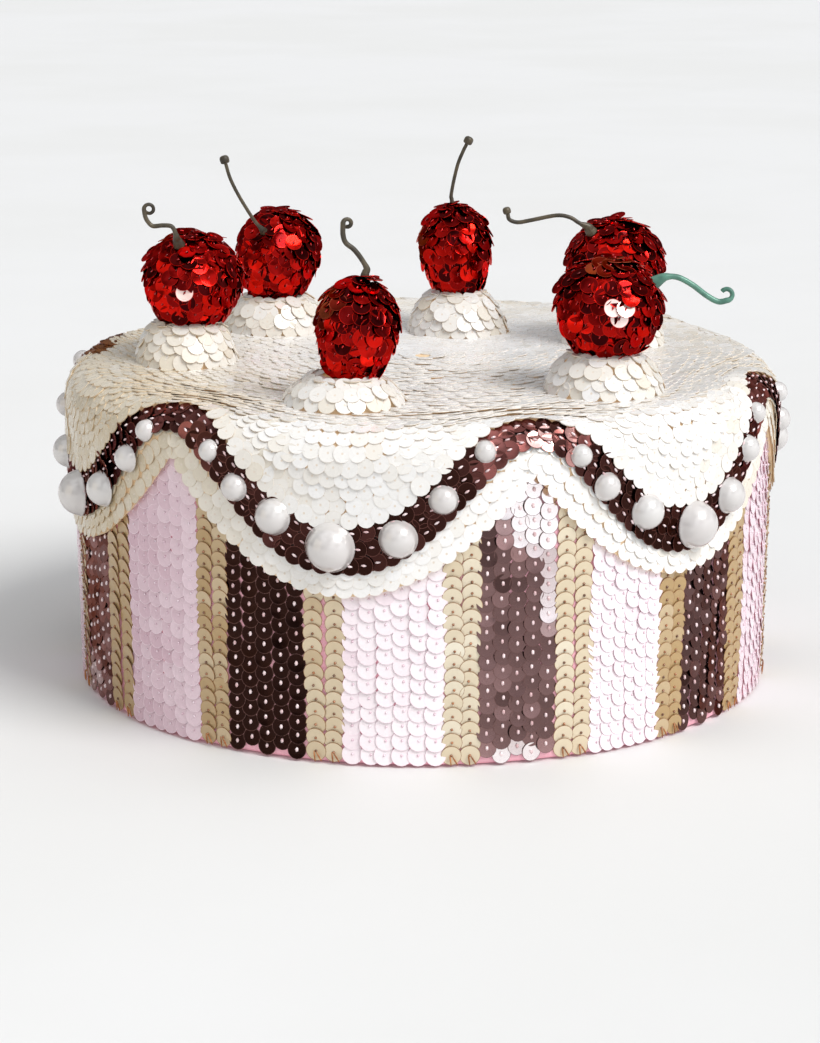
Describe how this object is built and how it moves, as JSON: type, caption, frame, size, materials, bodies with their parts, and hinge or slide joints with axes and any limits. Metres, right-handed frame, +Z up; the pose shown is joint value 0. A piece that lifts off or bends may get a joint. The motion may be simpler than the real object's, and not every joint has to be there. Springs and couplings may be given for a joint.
{
  "type": "sequin-covered decorative cake",
  "caption": "Round show cake dressed in sequins: striped side, scalloped cream cover with a dark pearl-set band, and rosettes topped with red cherries on wire stems.",
  "frame": {"origin": "middle of the flat base", "axes": "+Z up through the cake; the side in the picture faces -Y, its right is +X"},
  "size_m": [0.2198, 0.2203, 0.1544],
  "materials": {
    "sequin_stripes": "rows of small plastic discs in pink, gold and dark brown stripes, each sewn down with a bead",
    "cream_sequins": "overlapping cream discs with a satin face and amber shade between them",
    "brown_sequins": "dark brown metallic discs with pinkish beads and small half pearls",
    "cherry_sequins": "see-through red metallic discs in scaled rows",
    "pearl": "white pearl coat with a soft sheen",
    "stem_wire": "dark green paper-wrapped wire, one of them blue-green"
  },
  "bodies": {
    "root": {"cake_body": "sequin_stripes", "icing_cover": "cream_sequins", "trim_band": "brown_sequins", "pearl_left_1": "pearl", "pearl_left_2": "pearl", "pearl_left_3": "pearl", "pearl_left_4": "pearl", "pearl_left_5": "pearl", "pearl_front_1": "pearl", "pearl_front_2": "pearl", "pearl_front_3": "pearl", "pearl_front_4": "pearl", "pearl_front_5": "pearl", "pearl_right_1": "pearl", "pearl_right_2": "pearl", "pearl_right_3": "pearl", "pearl_right_4": "pearl", "pearl_right_5": "pearl", "pearl_back_right_1": "pearl", "pearl_back_right_2": "pearl", "pearl_back_right_3": "pearl", "pearl_back_right_4": "pearl", "pearl_back_right_5": "pearl", "pearl_back_1": "pearl", "pearl_back_2": "pearl", "pearl_back_3": "pearl", "pearl_back_4": "pearl", "pearl_back_5": "pearl", "pearl_back_left_1": "pearl", "pearl_back_left_2": "pearl", "pearl_back_left_3": "pearl", "pearl_back_left_4": "pearl", "pearl_back_left_5": "pearl", "rosette_1": "cream_sequins", "cherry_1": "cherry_sequins", "stem_1": "stem_wire", "rosette_2": "cream_sequins", "cherry_2": "cherry_sequins", "stem_2": "stem_wire", "rosette_3": "cream_sequins", "cherry_3": "cherry_sequins", "stem_3": "stem_wire", "rosette_4": "cream_sequins", "cherry_4": "cherry_sequins", "stem_4": "stem_wire", "rosette_5": "cream_sequins", "cherry_5": "cherry_sequins", "stem_5": "stem_wire", "rosette_6": "cream_sequins", "cherry_6": "cherry_sequins", "stem_6": "stem_wire"}
  },
  "joints": []
}
